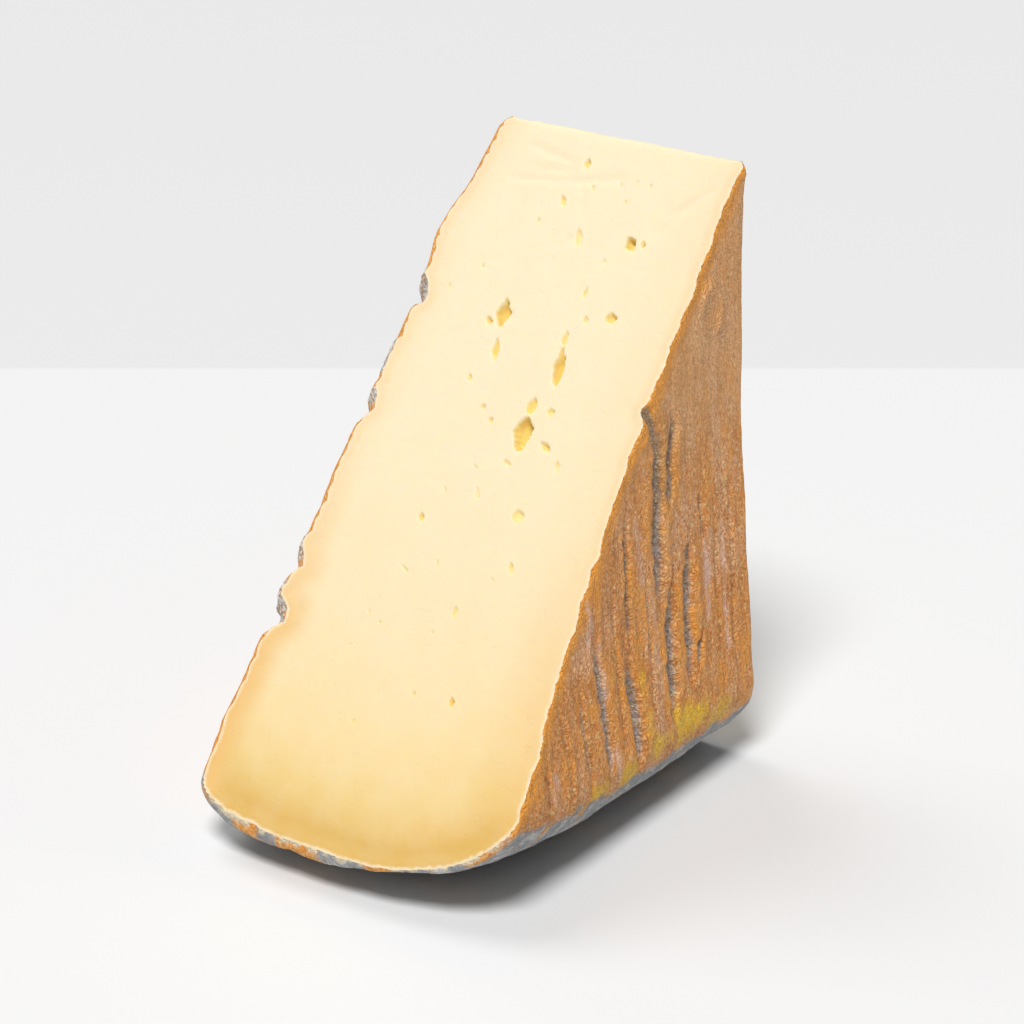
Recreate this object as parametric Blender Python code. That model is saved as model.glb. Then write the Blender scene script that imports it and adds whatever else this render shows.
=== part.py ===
"""A wedge of washed-rind cheese: an eighth of a square slab, standing on its rim.

The slab is a cushion about 200 mm square. Two straight cuts meet along a line through its centre:
the rear cut is square to a side, and the front cut runs close to the slab's rounded corner. The
piece stands on that side's rind, leans back a little, and is pressed flat where it rests.

Slab coordinates: "across" runs through the thickness, "along" runs along the slab's side from the
rear cut towards the corner, and "down" runs from the slab's centre to its rim. The model's own axes
are X across, -Y along and -Z down, with the origin under the middle of the piece.
"""

import math
import random

import bmesh
import bpy
from mathutils import Matrix, Vector, noise

MM = 0.001

SLAB_HALF_SIDE = 103.0 * MM
CORNER_POWER = 4.4  # of the superellipse that rounds the slab's corners
WEDGE_ANGLE = math.radians(39.0)
LEAN = math.radians(1.2)
PRESSED_FLAT = 2.2 * MM
BLUNT_TIP = 1.2 * MM

# Where the two flat rinds lie, at the slab's centre and at its rim
RIGHT_AT_CENTRE = 20.6 * MM
RIGHT_AT_RIM = 28.2 * MM
RIGHT_SINK = 2.9 * MM
LEFT_AT_CENTRE = 23.2 * MM
LEFT_AT_RIM = 29.8 * MM
LEFT_BELLY = 1.5 * MM
TIP_LIP = 0.8 * MM
TIP_LIP_REACH = 5.0 * MM

# The rim: how far it bulges beyond the edges of the flat rinds, and how it has sunk towards the left
RIGHT_CROWN = 16.0 * MM
LEFT_CROWN = 7.0 * MM
CROWN_POWER = 2.1
RIM_TILT = 0.045
RIM_TILT_START = 60.0 * MM
RIM_TILT_END = 100.0 * MM

# The grid of the uncut block
BLOCK_START = -3.0 * MM
BLOCK_END = 90.0 * MM
STATIONS = 74
FACE_ROWS = 30
RIM_COLUMNS = 18
BLOCK_TOP = -3.0 * MM

# Rind relief
CORRUGATION = 0.14 * MM
CORRUGATION_PITCH = 5.2 * MM
LUMPS = 0.35 * MM
LUMP_SIZE = 9.0 * MM
RIM_LUMPS = 0.45 * MM

# Cracks in the right rind: along at the top, along at the bottom, down from, down to, half width, depth
RIGHT_CRACKS = (
    (24.4, 25.1, 33.5, 68.5, 2.0, 1.5),
    (19.6, 21.1, 34.5, 52.5, 1.8, 1.1),
    (21.7, 24.4, 62.0, 86.5, 2.0, 1.5),
    (15.5, 18.7, 55.0, 83.5, 2.0, 1.5),
    (34.5, 34.2, 47.0, 90.5, 2.1, 1.6),
    (44.4, 42.7, 62.5, 90.5, 1.8, 0.9),
    (54.0, 51.5, 66.0, 92.0, 1.8, 0.5),
)
# Cracks in the left rind, which notch the edge of the front cut
LEFT_CRACKS = (
    (20.8, 19.8, 15.0, 60.0, 2.8, 1.9),
    (33.4, 32.4, 29.0, 84.0, 2.2, 1.5),
    (50.4, 49.4, 50.0, 90.0, 2.0, 1.0),
    (56.6, 55.0, 57.0, 92.0, 2.6, 1.9),
    (42.0, 41.0, 60.0, 88.0, 2.0, 1.0),
    (9.0, 8.0, 40.0, 80.0, 2.0, 0.9),
)
# Swellings of the left rind: along, half width, height
LEFT_SWELLINGS = (
    (13.0, 4.0, 1.0),
    (68.0, 7.0, 0.8),
)

# Eyes in the front cut: across, down from the tip, width, length, slant in degrees, depth
FRONT_EYES = (
    (-5.6, 4.8, 1.3, 2.6, 8.0, 1.0),
    (-7.4, 11.7, 1.2, 3.2, 30.0, 1.0),
    (7.1, 16.4, 2.4, 3.4, 38.0, 2.2),
    (-2.3, 17.2, 1.2, 4.2, 16.0, 0.7),
    (2.7, 25.9, 1.2, 3.2, 2.0, 0.8),
    (8.6, 28.9, 2.4, 2.8, 12.0, 1.3),
    (-9.7, 33.9, 3.4, 6.6, 8.0, 3.2),
    (-8.6, 39.6, 1.6, 5.0, 15.0, 1.3),
    (3.0, 38.4, 2.4, 8.6, 10.0, 2.8),
    (1.2, 49.7, 4.0, 7.8, 4.0, 3.6),
    (4.6, 46.0, 1.8, 2.8, 24.0, 1.0),
    (6.0, 51.7, 1.8, 3.4, 52.0, 1.1),
    (-11.5, 43.5, 1.3, 2.4, 20.0, 0.9),
    (5.9, 63.3, 2.8, 3.4, 30.0, 0.9),
    (-10.4, 67.3, 1.2, 2.6, 14.0, 0.9),
    (8.1, 71.6, 1.2, 3.0, 24.0, 0.9),
    (6.8, 94.0, 1.5, 2.6, 8.0, 1.4),
)
LARGE_EYE = 5.0  # a longer eye is cut with more faces
REAR_EYES = 12
REAR_SEED = 7


def clear_scene():
    for old in list(bpy.data.objects):
        bpy.data.objects.remove(old)


def smooth_step(low, high, value):
    """0 below low, 1 above high and smooth between."""
    share = min(1.0, max(0.0, (value - low) / (high - low)))
    return share * share * (3.0 - 2.0 * share)


def rim_depth(along):
    """How far down the middle of the rim lies at this place along the slab's side."""
    share = max(0.0, along) / SLAB_HALF_SIDE
    return SLAB_HALF_SIDE * (1.0 - share**CORNER_POWER) ** (1.0 / CORNER_POWER)


def half_thickness(side, down):
    """From the slab's middle plane to its right (+1) or left (-1) rind, before any relief."""
    share = min(1.0, max(0.0, down / SLAB_HALF_SIDE))
    bow = math.sin(math.pi * share)
    if side > 0:
        lip = TIP_LIP * (1.0 - smooth_step(0.0, TIP_LIP_REACH, down))
        return RIGHT_AT_CENTRE + (RIGHT_AT_RIM - RIGHT_AT_CENTRE) * share - RIGHT_SINK * bow + lip
    return LEFT_AT_CENTRE + (LEFT_AT_RIM - LEFT_AT_CENTRE) * share + LEFT_BELLY * bow


def crack_depth(cracks, along, down):
    """How deep the rind is cracked here: the deepest of the cracks that pass."""
    deepest = 0.0
    for top_along, bottom_along, start, end, half_width, depth in cracks:
        share = (down / MM - start) / (end - start)
        if not 0.0 < share < 1.0:
            continue
        centre = top_along + (bottom_along - top_along) * share + 0.5 * math.sin(9.0 * share + start)
        offset = abs(along / MM - centre) / half_width
        fade = min(1.0, 6.0 * share, 6.0 * (1.0 - share))
        deepest = max(deepest, depth * fade * (1.0 - smooth_step(0.0, 1.0, offset)))
    return deepest * MM


def relief(side, along, down, on_rim):
    """Height of the rind's relief above its even surface. on_rim is 0 on a flat rind and 1 on the rim."""
    spot = Vector((side * 31.0, along / LUMP_SIZE, down / (2.2 * LUMP_SIZE)))
    lumps = LUMPS * noise.noise(spot)
    ridges = CORRUGATION * math.sin(2.0 * math.pi * along / CORRUGATION_PITCH + 1.5 * noise.noise(spot * 0.6))
    cracks = crack_depth(RIGHT_CRACKS if side > 0 else LEFT_CRACKS, along, down)
    flat_rind = lumps + ridges - cracks
    if side < 0:
        for middle, half_width, height in LEFT_SWELLINGS:
            flat_rind += height * MM * math.exp(-(((along / MM - middle) / half_width) ** 2))
    return (1.0 - on_rim) * flat_rind


def sunk(across, down):
    """The slab has sagged: towards the left its rim lies deeper, and towards the right higher."""
    return across, down - RIM_TILT * across * smooth_step(RIM_TILT_START, RIM_TILT_END, down)


def profile(along):
    """The block's outline across one station: down the left rind, round the rim and up the right rind."""
    rim = rim_depth(along)
    points = []
    for row in range(FACE_ROWS):
        down = BLOCK_TOP + (rim - LEFT_CROWN - BLOCK_TOP) * row / FACE_ROWS
        points.append((-half_thickness(-1, down) - relief(-1, along, down, 0.0), down))
    for column in range(RIM_COLUMNS + 1):
        turn = -math.pi / 2.0 + math.pi * column / RIM_COLUMNS
        side, crown = (1, RIGHT_CROWN) if turn > 0 else (-1, LEFT_CROWN)
        reach = abs(math.sin(turn)) ** (2.0 / CROWN_POWER)
        down = rim - crown * (1.0 - abs(math.cos(turn)) ** (2.0 / CROWN_POWER))
        on_rim = smooth_step(0.0, 0.7, math.cos(turn))
        across = side * reach * half_thickness(side, down)
        lump = RIM_LUMPS * noise.noise(Vector((across, along, 0.0)) / LUMP_SIZE)
        height = relief(side, along, down, on_rim) + on_rim * lump
        points.append((across + math.sin(turn) * height, down + math.cos(turn) * height))
    for row in range(FACE_ROWS - 1, -1, -1):
        down = BLOCK_TOP + (rim - RIGHT_CROWN - BLOCK_TOP) * row / FACE_ROWS
        points.append((half_thickness(1, down) + relief(1, along, down, 0.0), down))
    return [sunk(across, down) for across, down in points]


def uncut_block():
    """The corner of the slab as a closed block, from behind the rear cut to beyond the front cut."""
    shape = bmesh.new()
    rings = []
    for station in range(STATIONS + 1):
        along = BLOCK_START + (BLOCK_END - BLOCK_START) * station / STATIONS
        rings.append([shape.verts.new((across, -along, -down)) for across, down in profile(along)])
    for ring, following in zip(rings, rings[1:]):
        for index in range(len(ring)):
            after = (index + 1) % len(ring)
            shape.faces.new((ring[index], ring[after], following[after], following[index]))
    shape.faces.new(rings[0])
    shape.faces.new(list(reversed(rings[-1])))
    bmesh.ops.recalc_face_normals(shape, faces=shape.faces)
    return shape


def cut_away(shape, point, outward):
    """A straight cut: what lies beyond the plane is removed and the cut is closed with one face."""
    geometry = list(shape.verts) + list(shape.edges) + list(shape.faces)
    bmesh.ops.bisect_plane(
        shape, geom=geometry, dist=1e-7, plane_co=point, plane_no=outward, clear_outer=True
    )
    rim = [edge for edge in shape.edges if edge.is_boundary]
    bmesh.ops.edgeloop_fill(shape, edges=rim)
    bmesh.ops.recalc_face_normals(shape, faces=shape.faces)


def front_cut_frame():
    """The tip of the front cut, its outward normal and the direction down it, in the block's axes."""
    down_it = Vector((0.0, -math.sin(WEDGE_ANGLE), -math.cos(WEDGE_ANGLE)))
    outward = Vector((0.0, -math.cos(WEDGE_ANGLE), math.sin(WEDGE_ANGLE)))
    return Vector((0.0, 0.0, 0.0)), outward, down_it


def cut_wedge(shape):
    """The rear cut, the front cut and the blunt tip between them."""
    tip, outward, _ = front_cut_frame()
    cut_away(shape, tip, Vector((0.0, 1.0, 0.0)))
    cut_away(shape, tip, outward)
    half_way = WEDGE_ANGLE / 2.0
    out_of_tip = Vector((0.0, math.sin(half_way), math.cos(half_way)))
    cut_away(shape, -BLUNT_TIP * out_of_tip, out_of_tip)


def stand(shape):
    """Leans the wedge back, presses its underside flat and puts the origin under its middle."""
    bmesh.ops.rotate(shape, verts=shape.verts, cent=(0, 0, 0), matrix=Matrix.Rotation(-LEAN, 3, "X"))
    floor = min(vertex.co.z for vertex in shape.verts) + PRESSED_FLAT
    for vertex in shape.verts:
        vertex.co.z = max(vertex.co.z, floor)
    low = Vector([min(vertex.co[axis] for vertex in shape.verts) for axis in range(3)])
    high = Vector([max(vertex.co[axis] for vertex in shape.verts) for axis in range(3)])
    shift = Vector((-(low.x + high.x) / 2.0, -(low.y + high.y) / 2.0, -low.z))
    bmesh.ops.translate(shape, verts=shape.verts, vec=shift)
    return shift


def cheese_material():
    """The pale paste that both cuts show."""
    look = bpy.data.materials.new("cheese")
    look.use_nodes = True
    shader = look.node_tree.nodes["Principled BSDF"]
    shader.inputs["Base Color"].default_value = (0.94, 0.76, 0.42, 1.0)
    shader.inputs["Roughness"].default_value = 0.5
    shader.inputs["Metallic"].default_value = 0.0
    return look


def eye_cutter(name, centre, outward, down_it, width, length, slant, depth):
    """An almond-shaped lump that hollows one eye out of a cut."""
    shape = bmesh.new()
    fineness = 2 if length > LARGE_EYE * MM else 1
    bmesh.ops.create_icosphere(shape, subdivisions=fineness, radius=1.0)
    across = down_it.cross(outward).normalized()
    turn = Matrix((across, down_it, outward)).transposed()
    spin = Matrix.Rotation(slant, 3, "Z")
    for vertex in shape.verts:
        pinch = 1.0 - 0.55 * vertex.co.y * vertex.co.y
        almond = Vector((vertex.co.x * pinch * width / 2.0, vertex.co.y * length / 2.0, vertex.co.z * depth))
        vertex.co = turn @ (spin @ almond) + centre
    mesh = bpy.data.meshes.new(name)
    shape.to_mesh(mesh)
    shape.free()
    cutter = bpy.data.objects.new(name, mesh)
    cutter.hide_render = True
    cutter.display_type = "WIRE"
    return cutter


def eye_cutters(placed):
    """Cutters for the eyes of both cuts. placed takes a point of the block's axes to its standing place."""
    cutters = bpy.data.collections.new("eye_cutters")
    bpy.context.scene.collection.children.link(cutters)
    lean = Matrix.Rotation(-LEAN, 3, "X")
    tip, outward, down_it = front_cut_frame()
    to_ridge = BLUNT_TIP / math.cos(WEDGE_ANGLE / 2.0)
    for number, (across, down, width, length, slant, depth) in enumerate(FRONT_EYES):
        centre = tip + Vector((across * MM, 0.0, 0.0)) + down_it * (down * MM + to_ridge)
        cutters.objects.link(
            eye_cutter(
                f"front_eye_{number}", placed(centre), lean @ outward, lean @ down_it,
                width * MM, length * MM, math.radians(slant), depth * MM,
            )
        )
    draw = random.Random(REAR_SEED)
    for number in range(REAR_EYES):
        centre = Vector((draw.uniform(-14.0, 14.0) * MM, 0.0, -draw.uniform(12.0, 76.0) * MM))
        cutters.objects.link(
            eye_cutter(
                f"rear_eye_{number}", placed(centre), lean @ Vector((0.0, 1.0, 0.0)),
                lean @ Vector((0.0, 0.0, -1.0)), draw.uniform(1.4, 2.8) * MM, draw.uniform(2.4, 6.0) * MM,
                math.radians(draw.uniform(-30.0, 30.0)), draw.uniform(0.9, 2.6) * MM,
            )
        )
    return cutters


def hollow_eyes(wedge, cutters):
    """One Boolean takes every eye out of the wedge, and its cutters are then removed."""
    cut = wedge.modifiers.new("eyes", "BOOLEAN")
    cut.operation = "DIFFERENCE"
    cut.operand_type = "COLLECTION"
    cut.collection = cutters
    cut.solver = "EXACT"
    bpy.context.view_layer.objects.active = wedge
    bpy.ops.object.modifier_apply(modifier=cut.name)
    for cutter in list(cutters.objects):
        bpy.data.objects.remove(cutter)
    bpy.data.collections.remove(cutters)


def build_wedge():
    """The whole piece as one solid."""
    shape = uncut_block()
    cut_wedge(shape)
    shift = stand(shape)
    mesh = bpy.data.meshes.new("cheese_wedge")
    shape.to_mesh(mesh)
    shape.free()
    mesh.materials.append(cheese_material())
    wedge = bpy.data.objects.new("cheese_wedge", mesh)
    bpy.context.scene.collection.objects.link(wedge)
    lean = Matrix.Rotation(-LEAN, 3, "X")
    hollow_eyes(wedge, eye_cutters(lambda point: lean @ point + shift))
    mesh.shade_smooth()
    mesh.set_sharp_from_angle(angle=math.radians(35.0))
    return wedge


def main():
    clear_scene()
    build_wedge()


main()
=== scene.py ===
"""Looks of a wedge of washed-rind cheese: its fine surface, its materials and a plain stage.

The wedge is described in the slab's own directions, in millimetres: "across" through the slab's
thickness, "along" its side from the rear cut towards its corner, and "down" from its centre to its rim.
"""

import math
import random

import bmesh
import bpy
import numpy as np
from bpy.props import FloatProperty, FloatVectorProperty, IntProperty, PointerProperty
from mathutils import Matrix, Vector, geometry, kdtree, noise


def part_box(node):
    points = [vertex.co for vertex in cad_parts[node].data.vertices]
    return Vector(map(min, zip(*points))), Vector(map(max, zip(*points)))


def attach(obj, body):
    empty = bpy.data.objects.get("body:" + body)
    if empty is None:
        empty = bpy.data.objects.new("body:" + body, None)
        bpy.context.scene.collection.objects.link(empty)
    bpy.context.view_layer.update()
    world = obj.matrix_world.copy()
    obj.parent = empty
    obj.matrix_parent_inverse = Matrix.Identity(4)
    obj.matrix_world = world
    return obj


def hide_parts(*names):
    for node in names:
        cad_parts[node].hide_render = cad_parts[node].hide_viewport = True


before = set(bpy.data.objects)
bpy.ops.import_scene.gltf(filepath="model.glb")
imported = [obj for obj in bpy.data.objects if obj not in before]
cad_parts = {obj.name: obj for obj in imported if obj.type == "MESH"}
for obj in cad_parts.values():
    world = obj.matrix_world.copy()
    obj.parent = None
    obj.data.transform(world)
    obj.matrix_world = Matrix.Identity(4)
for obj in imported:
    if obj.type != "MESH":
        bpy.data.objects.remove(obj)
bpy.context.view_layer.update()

bl_info = {
    "name": "Washed-rind cheese wedge",
    "version": (1, 0, 0),
    "blender": (4, 5, 0),
    "location": "View3D > Sidebar > Cheese",
    "description": "Models and dresses a wedge of soft washed-rind cheese",
    "category": "Object",
}

MM = 0.001
NODE = "cheese_wedge"
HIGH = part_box(NODE)[1]

# Form of the slab, in millimetres
HALF_SIDE = 103.0
CORNER_POWER = 4.4
WEDGE_ANGLE = math.radians(39.0)
LEAN = math.radians(1.2)
BLUNT_TIP = 0.5
RIGHT_AT_CENTRE, RIGHT_AT_RIM, RIGHT_SINK = 20.6, 28.2, 2.9
LEFT_AT_CENTRE, LEFT_AT_RIM, LEFT_BELLY = 23.2, 29.8, 1.5
TIP_LIP, TIP_LIP_REACH = 0.8, 5.0
RIGHT_CROWN, LEFT_CROWN, CROWN_POWER = 16.0, 7.0, 2.1
RIM_TILT, RIM_TILT_START, RIM_TILT_END = 0.045, 60.0, 100.0
# The uncut tip, where the planes of both cuts meet in the slab's middle, from the solid's own box
TIP = np.array([2.421 * MM, HIGH.y + 0.026 * MM, HIGH.z + 0.973 * MM])

# Rind sheet: where it starts and ends, and its rows of faces
SHEET_START, SHEET_END, SHEET_TOP = -1.0, 82.0, -1.0
LEFT_ROWS, RIM_COLUMNS, RIGHT_ROWS = 140, 120, 270
# Down to a point inside the slab that every part of the rind faces away from
MIDDLE_DOWN = 60.0

# Rounding of the rind at the cuts: its radius across the rim, on both faces and at the rear cut
RIM_EDGE_ACROSS = (-31.0, -24.0, -17.0, -11.0, -5.0, 2.0, 9.0, 15.0, 20.0, 24.0, 28.0)
RIM_EDGE_RADIUS = (2.2, 3.6, 3.7, 3.1, 2.4, 1.1, 0.4, 0.9, 1.3, 1.1, 0.5)
LEFT_EDGE, RIGHT_EDGE, REAR_EDGE = 1.4, 0.35, 0.5
LEFT_RIDGE_CORNER, RIGHT_RIDGE_CORNER = 1.0, 1.9
# Flare of the rind towards the cuts: share of the rounding's radius, reach, and the rear one's height
FRONT_FLARE, FLARE_REACH = 0.75, 9.0
REAR_FLARE_DOWN = (0.0, 15.0, 35.0, 55.0, 70.0, 85.0)
REAR_FLARE = (0.0, 0.3, 1.1, 1.2, 0.9, 0.3)

# Cracks: along at the top, along at the bottom, down from, down to, half width, depth
RIGHT_CRACKS = (
    (27.3, 25.0, 31.8, 41.0, 1.5, 1.1),
    (24.4, 25.1, 34.0, 68.5, 1.7, 1.6),
    (19.8, 21.3, 35.0, 52.5, 1.3, 1.2),
    (21.8, 24.5, 62.0, 86.5, 1.6, 1.7),
    (15.6, 18.8, 55.0, 83.5, 1.5, 1.6),
    (34.3, 34.8, 47.0, 71.0, 0.8, 1.1),
    (35.4, 34.1, 70.0, 90.5, 1.6, 1.9),
    (44.4, 42.7, 63.0, 90.0, 1.3, 1.0),
    (12.1, 12.0, 50.5, 60.5, 0.7, 0.6),
    (14.0, 16.1, 73.5, 80.0, 0.8, 1.0),
    (28.8, 30.0, 56.0, 84.5, 0.6, 0.5),
    (38.8, 38.6, 56.0, 86.0, 0.6, 0.5),
    (49.8, 48.7, 68.0, 90.0, 0.7, 0.6),
    (55.3, 54.2, 70.0, 91.0, 0.6, 0.5),
    (60.8, 59.7, 76.0, 91.0, 0.6, 0.5),
    (8.3, 9.4, 56.5, 90.5, 0.6, 0.4),
    (4.5, 4.7, 40.5, 89.0, 0.6, 0.35),
)
LEFT_CRACKS = (
    (20.8, 19.8, 15.0, 60.0, 1.9, 1.9),
    (33.4, 32.4, 29.0, 84.0, 1.7, 1.6),
    (50.4, 49.4, 50.0, 90.0, 1.3, 1.0),
    (56.6, 55.0, 57.0, 92.0, 2.0, 1.9),
    (42.0, 41.0, 60.0, 88.0, 1.2, 1.0),
    (9.0, 8.0, 40.0, 80.0, 1.2, 0.9),
    (25.0, 24.0, 40.0, 86.0, 0.8, 0.7),
    (37.5, 36.0, 52.0, 80.0, 0.7, 0.6),
)
# Swellings of the left rind: along, half width, height
LEFT_SWELLINGS = (
    (13.0, 4.0, 1.7),
    (68.0, 7.0, 0.8),
)
# A curled ridge on the right rind: along, down, radius of the curl, height
RIGHT_RIDGE = (9.6, 23.2, 2.8, 0.6)
# Chalky, crumbly mould on the left rind: along, down, half width, half height, strength
LEFT_CHALK = (
    (19.2, 25.2, 2.4, 3.6, 1.0),
    (27.4, 35.0, 3.0, 4.6, 0.9),
    (31.8, 40.4, 1.3, 2.2, 0.5),
    (48.2, 61.2, 2.4, 3.6, 0.9),
    (53.4, 68.0, 2.6, 3.8, 1.0),
    (56.2, 71.2, 1.6, 2.6, 0.7),
)
# Bare orange patches of the rim at the front cut: across, half width, reach behind the cut
BARE_MARKS = (
    (-19.6, 2.9, 3.4),
    (-9.8, 4.8, 4.2),
    (6.0, 3.4, 0.7),
    (22.0, 3.0, 1.2),
)

# Eyes in the front cut: across, down the cut, width, length, slant in degrees, depth
FRONT_EYES = (
    (-5.6, 6.1, 1.1, 2.0, 8.0, 1.1),
    (-3.1, 9.8, 0.6, 1.5, 20.0, 0.7),
    (-7.4, 13.0, 0.9, 2.7, 32.0, 0.9),
    (-10.3, 17.0, 0.6, 1.2, 20.0, 0.6),
    (7.1, 17.7, 2.2, 2.9, 40.0, 2.3),
    (9.3, 17.5, 0.8, 1.4, 10.0, 1.2),
    (-2.2, 18.4, 1.2, 3.8, 20.0, 0.6),
    (3.8, 21.4, 0.4, 1.0, 10.0, 0.5),
    (2.7, 27.2, 0.8, 2.7, 6.0, 0.7),
    (8.6, 30.2, 2.2, 2.2, 12.0, 1.4),
    (4.6, 31.4, 0.9, 1.6, 30.0, 0.7),
    (-10.1, 33.1, 2.8, 5.4, 6.0, 3.2),
    (-8.8, 39.4, 1.2, 5.0, 15.0, 1.5),
    (-12.0, 34.9, 1.0, 2.2, 40.0, 1.2),
    (-16.8, 26.4, 0.5, 1.0, 20.0, 0.5),
    (-21.4, 30.7, 0.5, 1.2, 20.0, 0.5),
    (3.1, 39.8, 2.1, 7.8, 11.0, 2.9),
    (2.3, 35.1, 1.0, 3.4, 4.0, 1.0),
    (1.3, 51.1, 3.6, 6.8, 6.0, 3.6),
    (1.1, 46.8, 1.7, 3.6, 0.0, 1.4),
    (4.7, 47.1, 1.5, 1.9, 24.0, 0.8),
    (6.0, 52.7, 1.3, 3.0, 58.0, 1.2),
    (9.2, 55.2, 0.6, 2.6, 20.0, 0.6),
    (0.6, 56.6, 0.8, 2.2, 66.0, 0.7),
    (-5.0, 50.6, 0.9, 1.2, 20.0, 0.8),
    (-7.2, 48.8, 0.9, 1.2, 20.0, 0.8),
    (-11.4, 44.7, 0.9, 1.8, 30.0, 0.9),
    (-4.5, 58.4, 0.5, 1.6, 60.0, 0.5),
    (-8.0, 63.2, 0.4, 1.2, 20.0, 0.4),
    (-2.3, 62.6, 0.5, 3.0, 26.0, 0.5),
    (-10.3, 68.4, 0.9, 2.1, 18.0, 1.0),
    (6.0, 64.4, 2.4, 2.7, 26.0, 0.8),
    (-9.7, 77.0, 0.5, 2.2, 62.0, 0.5),
    (-4.5, 74.7, 0.5, 1.4, 18.0, 0.4),
    (8.2, 72.6, 0.8, 2.8, 26.0, 0.8),
    (6.0, 75.2, 0.5, 1.6, 40.0, 0.4),
    (-12.9, 84.9, 0.4, 0.9, 10.0, 0.4),
    (-10.3, 86.1, 0.5, 0.7, 10.0, 0.5),
    (1.7, 81.4, 1.0, 2.4, 10.0, 0.6),
    (-0.7, 85.5, 0.5, 1.0, 30.0, 0.4),
    (-13.8, 90.7, 0.4, 0.8, 10.0, 0.4),
    (0.2, 95.4, 0.5, 1.0, 10.0, 0.6),
    (6.9, 95.0, 0.9, 1.7, 8.0, 1.5),
    (-8.2, 102.1, 0.4, 1.0, 14.0, 0.5),
    (1.6, 8.6, 0.4, 0.9, 10.0, 0.4),
    (4.2, 7.6, 0.4, 0.8, 10.0, 0.4),
    (6.7, 7.8, 0.6, 0.9, 10.0, 0.5),
    (3.5, 11.2, 0.4, 1.0, 10.0, 0.4),
)
# Shallow creases of the front cut: from and to, across and down the cut
CREASES = (
    (-18.0, 10.9, -4.1, 9.0),
    (-4.1, 9.0, 1.3, 7.4),
    (-16.6, 4.8, -7.8, 6.5),
    (-13.7, 8.5, -7.3, 7.7),
    (-5.7, 24.4, -3.7, 18.5),
    (-4.3, 10.8, -3.2, 14.8),
    (11.9, 11.8, 17.3, 6.4),
    (10.7, 15.5, 14.6, 9.6),
)
CREASE_DEPTH, CREASE_WIDTH = 0.26, 0.45
REAR_EYES = 46
REAR_SEED = 7

# Marks on the right rind: along, down, half width, half height, strength
YELLOW_MARKS = (
    (37.7, 89.2, 3.4, 2.6, 1.0),
    (46.6, 89.6, 3.0, 2.0, 1.0),
    (19.7, 87.0, 6.5, 3.6, 1.0),
    (32.6, 76.6, 0.8, 3.0, 1.0),
    (31.4, 84.6, 1.2, 4.6, 0.7),
    (29.6, 88.0, 3.0, 2.4, 0.85),
    (22.6, 88.0, 1.4, 5.0, 0.9),
    (10.7, 89.2, 5.0, 3.0, 0.7),
    (52.0, 91.0, 2.4, 1.6, 0.6),
    (23.0, 47.0, 3.4, 9.0, 0.2),
)
BLOOM_MARKS = (
    (43.7, 76.0, 1.8, 10.0, 1.0),
    (11.5, 66.5, 1.1, 9.0, 0.8),
    (7.0, 69.7, 0.9, 11.0, 0.8),
    (41.4, 87.0, 1.6, 4.0, 0.9),
    (58.6, 83.8, 1.4, 3.0, 0.7),
    (46.0, 63.0, 1.1, 5.0, 0.8),
    (27.8, 70.4, 1.0, 12.0, 0.4),
    (31.0, 55.1, 1.0, 9.0, 0.4),
)
DARK_MARKS = (
    (22.6, 42.5, 2.3, 9.0, 1.0),
    (24.4, 58.3, 1.0, 9.0, 0.5),
    (34.5, 60.0, 0.9, 12.0, 0.5),
    (23.2, 66.0, 1.1, 4.0, 0.5),
)
# Golden grains on the right rind: raised granules whose pale colour is partly their own and partly painted
# highlight
GRAIN_MARKS = (
    (7.0, 47.0, 4.2, 9.0, 1.0),
    (31.0, 84.0, 5.0, 8.0, 0.8),
    (48.0, 84.0, 9.0, 9.0, 0.8),
    (18.0, 66.0, 1.6, 9.0, 0.8),
    (35.8, 58.0, 1.6, 11.0, 0.7),
    (26.5, 60.0, 1.4, 12.0, 0.6),
)

# Unevenness, each a sum of waves of noise: height or strength, size, seed
FACE_LUMPS = ((0.3, (1.0, 9.0, 20.0), 0.3), (0.16, (1.0, 3.6, 9.0), 5.1))
RIM_LUMPS = ((0.4, 9.0, 6.0), (0.16, 3.2, 3.0), (0.1, 1.3, 1.0))
FRONT_EDGE_WAVES = ((0.5, (1.0, 4.0, 4.0), 40.0), (0.25, (1.0, 1.5, 1.5), 44.0))
EDGE_RADIUS_WAVES = ((0.2, 2.2, 51.0), (0.3, 5.0, 53.0))
MOULD_BORDER_WAVES = ((1.4, (6.0, 5.0, 4.0), 12.0), (0.9, 1.7, 17.0))
BARE_OUTLINE = ((0.35, 1.4, 60.0), (0.25, 0.6, 61.0))
GOLDEN_BAND_WAVES = ((1.4, (1.0, 7.0, 7.0), 33.0), (1.0, (1.0, 1.6, 2.4), 35.0))
MARK_OUTLINE = ((0.4, (1.6, 3.2, 1.0), 21.0), (0.3, (0.7, 1.2, 1.0), 4.0))
EYE_OUTLINE = ((0.26, 1.3, 7.0), (0.2, 0.55, 2.0))
PASTE_SWELL = ((0.1, 16.0, 1.0), (0.035, (2.0, 9.0, 1.0), 4.0), (0.02, 1.7, 8.0))
RIDGE_WAVES = ((0.35, 9.0, 2.5), (0.12, 2.6, 6.0))

# Ripe paste: how far up from the rim's middle and how far across its rind counts as the rim
RIPE_RIM_DOWN, RIPE_RIM_MIDDLE, RIPE_RIM_HALF = 16.0, -1.0, 23.5
# Points nearer to each other than this become one, and a cut's own points keep this far from its outline
WELD, CLEAR_OF_OUTLINE = 0.07, 0.38
RIDGE_STEP = 0.55
# Pattern of a cut's points: seed of its unevenness, and a row's height beside the gap in it
PATTERN_SEED, ROW_HEIGHT = 11, 0.866
# The paste's place among the piece's materials
PASTE_LOOK = 1

# Light on each face beside the light that a white one would send back
PASTE_LIGHT, RIND_LIGHT = 1.19, 0.625


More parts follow.
